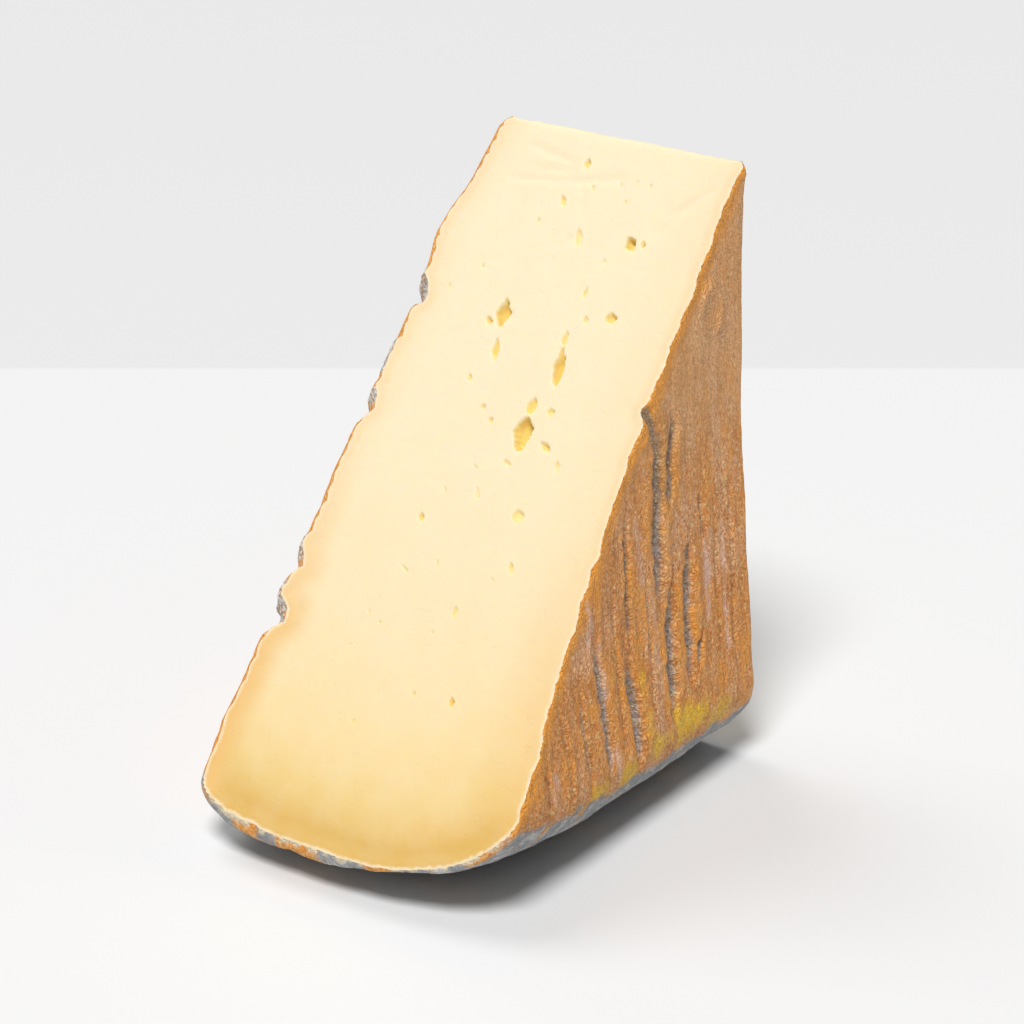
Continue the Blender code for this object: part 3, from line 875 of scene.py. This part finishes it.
def soften_ridge(piece):
    """Rounds and waves the ridge where the two cuts meet."""
    mesh = piece.data
    places = mesh_points(mesh)
    across, along, down = in_slab(places)
    half = WEDGE_ANGLE / 2.0
    to_tip = below_tip(along, down)
    fall = 1.0 - smooth_step(0.8, 9.0, to_tip)
    sink = waves(on_plane(across, np.zeros_like(across)), RIDGE_WAVES) - 0.15
    inward = -direction(-math.sin(half), -math.cos(half))
    places += np.outer(-sink * fall * MM, inward)
    mesh.vertices.foreach_set("co", places.ravel())
    mesh.update()
    near = to_tip < 2.4
    only_selected(piece)
    bpy.ops.object.mode_set(mode="EDIT")
    bpy.ops.mesh.select_all(action="DESELECT")
    bpy.ops.object.mode_set(mode="OBJECT")
    mesh.vertices.foreach_set("select", near)
    bpy.ops.object.mode_set(mode="EDIT")
    bpy.ops.mesh.select_mode(type="VERT")
    bpy.ops.mesh.vertices_smooth(factor=0.5, repeat=4)
    bpy.ops.object.mode_set(mode="OBJECT")


def sharpen_cut_edges(piece):
    """Shades the piece smooth but keeps the edge between a cut and the rind crisp."""
    shape = bmesh.new()
    shape.from_mesh(piece.data)
    for face in shape.faces:
        face.smooth = True
    for edge in shape.edges:
        looks = {face.material_index for face in edge.link_faces}
        edge.smooth = len(looks) < 2
    shape.to_mesh(piece.data)
    shape.free()


class Nodes:
    """Short words for making a material's nodes."""

    def __init__(self, tree):
        self.tree = tree

    def add(self, kind, inputs=None, **settings):
        node = self.tree.nodes.new(kind)
        for name, value in settings.items():
            setattr(node, name, value)
        for name, value in (inputs or {}).items():
            if isinstance(value, bpy.types.NodeSocket):
                self.tree.links.new(value, node.inputs[name])
            else:
                node.inputs[name].default_value = value
        return node

    def attribute(self, name):
        return self.add("ShaderNodeAttribute", attribute_name=name).outputs["Fac"]

    def place(self, scale=(1.0, 1.0, 1.0)):
        """Object coordinates in millimetres, stretched by scale."""
        where = self.add("ShaderNodeTexCoord").outputs["Object"]
        mapped = self.add("ShaderNodeMapping", {"Vector": where})
        mapped.inputs["Scale"].default_value = tuple(1000.0 * value for value in scale)
        return mapped.outputs["Vector"]

    def noise(self, where, scale, detail=3.0, roughness=0.55):
        inputs = {"Vector": where, "Scale": scale, "Detail": detail, "Roughness": roughness}
        return self.add("ShaderNodeTexNoise", inputs).outputs["Fac"]

    def ramp(self, value, low, high, to_low=0.0, to_high=1.0):
        inputs = {"Value": value, "From Min": low, "From Max": high, "To Min": to_low, "To Max": to_high}
        return self.add("ShaderNodeMapRange", inputs, interpolation_type="SMOOTHSTEP").outputs["Result"]

    def gradient(self, value, stops):
        """A run of colours: stops from 0 to 1, each a position and a colour."""
        node = self.add("ShaderNodeValToRGB", {"Fac": value})
        elements = node.color_ramp.elements
        elements[0].color = (*stops[0][1], 1.0)
        elements[1].color = (*stops[-1][1], 1.0)
        for position, colour in stops[1:-1]:
            elements.new(position).color = (*colour, 1.0)
        return node.outputs["Color"]

    def cells(self, where, scale, feature="F1"):
        return self.add("ShaderNodeTexVoronoi", {"Vector": where, "Scale": scale}, feature=feature)

    def maths(self, operation, first, second):
        return self.add("ShaderNodeMath", {0: first, 1: second}, operation=operation).outputs["Value"]

    def plus(self, first, second):
        return self.maths("ADD", first, second)

    def times(self, first, second):
        return self.maths("MULTIPLY", first, second)

    def mix(self, share, first, second):
        """One colour laid over another."""
        node = self.add("ShaderNodeMix", data_type="RGBA")
        for socket, value in ((0, share), (6, first), (7, second)):
            if isinstance(value, bpy.types.NodeSocket):
                self.tree.links.new(value, node.inputs[socket])
            elif socket == 0:
                node.inputs[0].default_value = value
            else:
                node.inputs[socket].default_value = (*value, 1.0)
        return node.outputs[2]

    def bump(self, height, distance):
        inputs = {"Height": height, "Distance": distance, "Strength": 1.0}
        return self.add("ShaderNodeBump", inputs).outputs["Normal"]

    def feed(self, shader, inputs):
        """Links values that change over the surface into the shader's sockets."""
        for name, value in inputs.items():
            self.tree.links.new(value, shader.inputs[name])


def new_material(name):
    """An empty material with its Principled shader, and the words for its nodes."""
    look = bpy.data.materials.new(name)
    look.use_nodes = True
    return look, look.node_tree.nodes["Principled BSDF"], Nodes(look.node_tree)


def paste_material(colours):
    """Pale paste: golden under the rim, tan against the rind, with painted shade of a deeper yellow inside
    its eyes.
    """
    look, shader, n = new_material("paste")
    where = n.place()
    from_rind = n.attribute("from_rind")
    eye = n.attribute("eye")
    drift = n.times(n.maths("SUBTRACT", n.noise(where, 0.09, 3.0), 0.5), 0.04)
    ripe = n.plus(n.attribute("ripe"), drift)
    stops = (
        (0.0, colours.heart), (0.1, colours.cream), (0.21, colours.straw),
        (0.375, colours.golden), (0.68, colours.ripe), (1.0, colours.ripe),
    )
    colour = n.gradient(ripe, stops)
    cloud = n.ramp(n.noise(where, 0.2, 4.0), 0.35, 0.7)
    colour = n.mix(n.times(cloud, 0.12), colour, colours.white)
    axes = n.add("ShaderNodeSeparateXYZ", {"Vector": where})
    left = n.ramp(axes.outputs["X"], -12.0, 8.0, 1.0, 0.0)
    left = n.times(left, n.ramp(axes.outputs["Z"], 18.0, 62.0, 1.0, 0.15))
    side = n.ramp(from_rind, 0.3, 3.2, 0.34, 0.0)
    wide = n.times(n.ramp(from_rind, 0.5, 6.0, 0.85, 0.0), left)
    right = n.ramp(axes.outputs["X"], -2.0, 14.0)
    right = n.times(right, n.ramp(axes.outputs["Z"], 24.0, 60.0, 1.0, 0.3))
    wide_right = n.times(n.ramp(from_rind, 1.0, 12.0, 0.4, 0.0), right)
    by_rim = n.ramp(n.attribute("ripe"), 0.5, 0.85, 1.0, 0.15)
    wide = n.maths("MAXIMUM", wide, wide_right)
    side = n.times(n.maths("MAXIMUM", side, wide), by_rim)
    colour = n.mix(side, colour, colours.under_rind)
    crumbly = n.times(n.noise(where, 1.1, 3.0), 0.8)
    lip = n.ramp(n.plus(from_rind, crumbly), 0.5, 1.1, 1.0, 0.0)
    colour = n.mix(n.times(lip, 0.85), colour, colours.lip)
    # painted shade: a deeper yellow laid inside the eyes
    colour = n.mix(n.times(eye, 0.9), colour, colours.eye)
    shader.inputs["Subsurface Weight"].default_value = 0.4
    shader.inputs["Subsurface Radius"].default_value = (1.0, 0.62, 0.22)
    shader.inputs["Subsurface Scale"].default_value = 2.4 * MM
    shader.inputs["Specular IOR Level"].default_value = 0.3
    rough = n.ramp(n.noise(where, 0.35, 4.0), 0.3, 0.7, 0.42, 0.62)
    fine = n.noise(where, 1.6, 5.0, 0.6)
    pits = n.ramp(n.noise(where, 0.55, 3.0), 0.30, 0.42)
    wipe = n.noise(n.place((0.35, 0.12, 0.12)), 1.0, 4.0)
    grain = n.plus(n.times(fine, 0.4), n.times(pits, 0.35))
    grain = n.plus(grain, n.times(wipe, 1.4))
    n.feed(shader, {"Base Color": colour, "Roughness": rough, "Normal": n.bump(grain, 0.09 * MM)})
    return look


def rind_material(colours):
    """Orange-brown rind: a fine net, streaks, golden edges, grains partly painted as highlight, cracks, bloom
    and the rim's mould, with painted light making it lighter towards the top.
    """
    look, shader, n = new_material("rind")
    where = n.place()
    low = n.attribute("low")
    fine = n.noise(where, 1.5, 5.0, 0.62)
    streak = n.noise(n.place((1.0, 1.0, 0.13)), 0.85, 4.0, 0.6)
    broad = n.noise(n.place((1.0, 1.0, 0.45)), 0.17, 3.0)
    stray = n.add("ShaderNodeTexNoise", {"Vector": where, "Scale": 1.1}).outputs["Color"]
    warped = n.add("ShaderNodeVectorMath", {0: where, 1: stray}, operation="ADD").outputs["Vector"]
    net = n.cells(warped, 1.35, "DISTANCE_TO_EDGE").outputs["Distance"]
    lines = n.ramp(net, 0.02, 0.2, 1.0, 0.0)
    warm = n.plus(broad, n.times(low, 0.07))
    colour = n.mix(n.ramp(warm, 0.44, 0.58), colours.rind_dusty, colours.rind)
    gold = n.ramp(n.noise(n.place((1.0, 1.0, 0.5)), 0.33, 3.0), 0.5, 0.66, 0.0, 0.6)
    bloom = n.times(n.attribute("bloom"), n.ramp(streak, 0.36, 0.6))
    crack = n.ramp(n.attribute("crack"), 0.2, 0.75)
    slate = n.mix(n.times(low, n.ramp(fine, 0.4, 0.6)), colours.mould_dark, colours.mould_slate)
    crystals = n.cells(where, 1.7)
    lot = n.add("ShaderNodeSeparateColor", {"Color": crystals.outputs["Color"]}).outputs["Red"]
    # specks of crystals, pale partly in their own colour and partly as painted highlight
    glinting_specks = n.times(n.ramp(lot, 0.55, 0.65), n.ramp(crystals.outputs["Distance"], 0.18, 0.4, 1.0, 0.0))
    with_grains = n.ramp(n.plus(n.attribute("grains"), n.times(crack, 0.3)), 0.05, 0.3, 0.25, 1.0)
    grains = n.times(n.attribute("grains"), n.ramp(fine, 0.35, 0.6))
    for share, laid_over in (
        (n.times(n.ramp(streak, 0.5, 0.3), 0.7), colours.rind_dark),
        (n.times(n.ramp(streak, 0.52, 0.7), 0.65), colours.rind_dusty),
        (n.times(lines, 0.45), colours.rind_dark),
        (n.ramp(fine, 0.52, 0.7, 0.0, 0.85), colours.rind_pale),
        (n.ramp(fine, 0.48, 0.32, 0.0, 0.75), colours.rind_dark),
        # painted light: the rind turns lighter towards the top
        (n.ramp(low, 0.0, 0.9, 0.42, 0.0), colours.rind_top_painted_light),
        (n.times(gold, low), colours.edge),
        (n.times(n.attribute("edge"), 0.9), colours.edge),
        (n.times(n.attribute("yellow"), n.ramp(fine, 0.3, 0.5, 0.35, 1.0)), colours.yellow),
        (n.times(bloom, 0.85), colours.bloom),
        (n.times(n.attribute("dark"), n.ramp(fine, 0.35, 0.62, 1.0, 0.25)), colours.mould_dark),
        (n.times(n.attribute("beside"), 0.55), colours.edge),
        (n.times(crack, 0.9), slate),
        # pale specks and grains: partly real crystals, partly painted highlight
        (n.times(glinting_specks, with_grains), colours.grain),
        (n.times(grains, 0.35), colours.grain),
    ):
        colour = n.mix(share, colour, laid_over)
    grey = n.attribute("grey")
    blotch = n.ramp(n.noise(where, 0.42, 5.0, 0.65), 0.46, 0.66)
    mould = n.mix(blotch, colours.mould_grey, colours.mould_white)
    patches = n.ramp(n.noise(n.place((0.55, 1.0, 1.0)), 0.2, 4.0), 0.58, 0.66)
    bare = n.maths("MAXIMUM", n.attribute("bare"), n.times(patches, 0.7))
    orange = n.mix(n.ramp(fine, 0.42, 0.66), colours.orange, colours.orange_pale)
    colour = n.mix(grey, colour, n.mix(bare, mould, orange))
    crumbs = n.mix(n.ramp(fine, 0.4, 0.62), colours.crumb_brown, colours.crumb_white)
    crumbs = n.mix(n.ramp(n.noise(where, 0.5, 3.0), 0.5, 0.62, 0.0, 0.45), crumbs, colours.mould_grey)
    colour = n.mix(n.ramp(n.attribute("chalk"), 0.15, 0.5), colour, crumbs)
    colour = n.mix(n.ramp(n.attribute("crust"), 0.2, 0.6), colour, colours.lip)
    shader.inputs["Specular IOR Level"].default_value = 0.4
    rough = n.plus(n.ramp(fine, 0.3, 0.7, 0.62, 0.42), n.times(grey, 0.3))
    grain = n.plus(fine, n.times(n.ramp(net, 0.0, 0.3), 0.6))
    grain = n.plus(grain, n.times(glinting_specks, 0.5))
    grain = n.plus(grain, n.times(streak, 0.5))
    n.feed(shader, {"Base Color": colour, "Roughness": rough, "Normal": n.bump(grain, 0.3 * MM)})
    return look


class CHEESE_OT_wedge(bpy.types.Operator):
    """Model the wedge's fine surface and give it its paste and rind"""

    bl_idname = "cheese.wedge"
    bl_label = "Cheese wedge"

    def execute(self, context):
        sizes = context.scene.cheese_sizes
        colours = context.scene.cheese_colours
        piece = rind_sheet(sizes)
        piece.data.materials.append(rind_material(colours))
        piece.data.materials.append(paste_material(colours))
        close_wedge(piece, sizes)
        soften_ridge(piece)
        sharpen_cut_edges(piece)
        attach(piece, "root")
        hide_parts(NODE)
        return {"FINISHED"}


class CHEESE_OT_stage(bpy.types.Operator):
    """Set a plain pale floor, soft studio light and the camera"""

    bl_idname = "cheese.stage"
    bl_label = "Stage"

    def execute(self, context):
        stage_floor()
        stage_light()
        stage_camera()
        return {"FINISHED"}


# The camera: where it looks from and at, and its lens
CAMERA_AZIMUTH = math.radians(33.44)
CAMERA_ELEVATION = math.radians(22.98)
CAMERA_DISTANCE = 580.8 * MM
CAMERA_TARGET = Vector((11.7, -8.43, 55.56)) * MM
LENS_MM = 135.0
BACKDROP_BEHIND = 207.0 * MM
FLOOR_GREY, BACKDROP_GREY = (0.80, 0.80, 0.80), (0.74, 0.74, 0.74)

# The lights: name, azimuth, elevation and softness as angles in degrees, strength
LIGHTS = (
    ("key", 20.0, 61.0, 20.0, 2.85),
    ("fill", -105.0, 58.0, 34.0, 0.95),
)
ROOM_STRENGTH = 0.13


def facing(azimuth, elevation):
    """A unit direction from the object, azimuth 0 towards -Y and turning towards +X."""
    flat = math.cos(elevation)
    return Vector((math.sin(azimuth) * flat, -math.cos(azimuth) * flat, math.sin(elevation)))


def stage_floor():
    """A pale floor that turns a little greyer far behind the object."""
    bpy.ops.object.select_all(action="DESELECT")
    bpy.ops.mesh.primitive_plane_add(size=8.0, location=(0.0, 0.0, 0.0))
    floor = bpy.context.object
    floor.name = "floor"
    look, shader, n = new_material("floor")
    where = n.add("ShaderNodeTexCoord").outputs["Object"]
    away = (-math.sin(CAMERA_AZIMUTH), math.cos(CAMERA_AZIMUTH), 0.0)
    behind = n.add("ShaderNodeVectorMath", {0: where, 1: away}, operation="DOT_PRODUCT").outputs["Value"]
    start = CAMERA_TARGET.dot(Vector(away)) + BACKDROP_BEHIND
    far = n.ramp(behind, start - 1.0 * MM, start + 1.0 * MM)
    n.feed(shader, {"Base Color": n.mix(far, FLOOR_GREY, BACKDROP_GREY)})
    shader.inputs["Roughness"].default_value = 0.5
    shader.inputs["Specular IOR Level"].default_value = 0.2
    floor.data.materials.append(look)


def stage_light():
    """A soft light from above and the front, a weak one from the left, and a dim room."""
    world = bpy.data.worlds.new("studio")
    bpy.context.scene.world = world
    world.use_nodes = True
    background = world.node_tree.nodes["Background"]
    background.inputs["Color"].default_value = (1.0, 1.0, 1.0, 1.0)
    background.inputs["Strength"].default_value = ROOM_STRENGTH
    for name, azimuth, elevation, softness, strength in LIGHTS:
        back = facing(math.radians(azimuth), math.radians(elevation))
        light = bpy.data.objects.new(name, bpy.data.lights.new(name, "SUN"))
        light.data.energy = strength
        light.data.angle = math.radians(softness)
        light.rotation_euler = (-back).to_track_quat("-Z", "Y").to_euler()
        bpy.context.scene.collection.objects.link(light)


def stage_camera():
    """The camera at the photograph's height and side."""
    back = facing(CAMERA_AZIMUTH, CAMERA_ELEVATION)
    camera = bpy.data.objects.new("camera", bpy.data.cameras.new("camera"))
    camera.data.lens = LENS_MM
    camera.data.sensor_width = 36.0
    camera.location = CAMERA_TARGET + back * CAMERA_DISTANCE
    camera.rotation_euler = (-back).to_track_quat("-Z", "Y").to_euler()
    camera.data.clip_start = 0.01
    bpy.context.scene.collection.objects.link(camera)
    bpy.context.scene.camera = camera
    bpy.context.scene.view_settings.view_transform = "Standard"


class CHEESE_PT_panel(bpy.types.Panel):
    """The cheese's sizes, colours and steps"""

    bl_idname = "CHEESE_PT_panel"
    bl_label = "Cheese wedge"
    bl_space_type = "VIEW_3D"
    bl_region_type = "UI"
    bl_category = "Cheese"

    def draw(self, context):
        column = self.layout.column()
        for group in (context.scene.cheese_sizes, context.scene.cheese_colours):
            for name in group.__annotations__:
                column.prop(group, name)
        column.operator("cheese.wedge")
        column.operator("cheese.stage")


CLASSES = (CheeseSizes, CheeseColours, CHEESE_OT_wedge, CHEESE_OT_stage, CHEESE_PT_panel)


def register():
    for kind in CLASSES:
        bpy.utils.register_class(kind)
    bpy.types.Scene.cheese_sizes = PointerProperty(type=CheeseSizes)
    bpy.types.Scene.cheese_colours = PointerProperty(type=CheeseColours)


def unregister():
    del bpy.types.Scene.cheese_colours
    del bpy.types.Scene.cheese_sizes
    for kind in reversed(CLASSES):
        bpy.utils.unregister_class(kind)


def main():
    register()
    bpy.ops.cheese.wedge()
    bpy.ops.cheese.stage()


if __name__ == "__main__":
    main()
